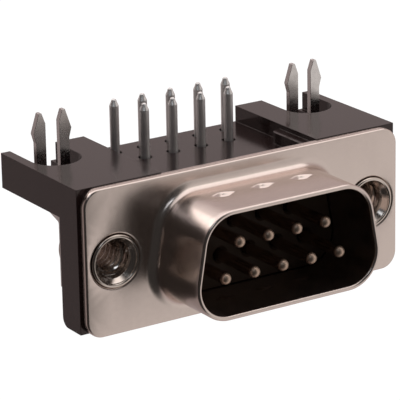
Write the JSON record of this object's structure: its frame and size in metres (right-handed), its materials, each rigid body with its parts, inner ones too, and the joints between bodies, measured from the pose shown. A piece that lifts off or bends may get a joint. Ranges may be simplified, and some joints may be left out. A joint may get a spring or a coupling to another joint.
{
  "type": "d-sub connector",
  "caption": "Right-angle D-shaped plug with a metal shroud, pins in staggered rows, threaded inserts, snap-in board locks and bent board tails.",
  "frame": {"origin": "midway between the two screw axes, on the front face of the shell's flange", "axes": "+X along the flange, +Y to the rear of the connector, +Z towards the circuit board; the mating side faces -Y"},
  "size_m": [0.031, 0.0194, 0.0164],
  "materials": {
    "shell": "nickel-plated drawn steel, satin",
    "plastic": "black moulded resin, semi-gloss",
    "contact": "thin gold plating on the pins, tin on the tails",
    "tin": "tin plating, bright"
  },
  "bodies": {
    "root": {"front_shell": "shell", "rear_shell": "shell", "front_insulator": "plastic", "rear_insulator": "plastic", "housing": "plastic", "contact_1": "contact", "contact_2": "contact", "contact_3": "contact", "contact_4": "contact", "contact_5": "contact", "contact_6": "contact", "contact_7": "contact", "contact_8": "contact", "contact_9": "contact", "threaded_insert_left": "tin", "threaded_insert_right": "tin", "boardlock_left": "tin", "boardlock_right": "tin"}
  },
  "joints": []
}
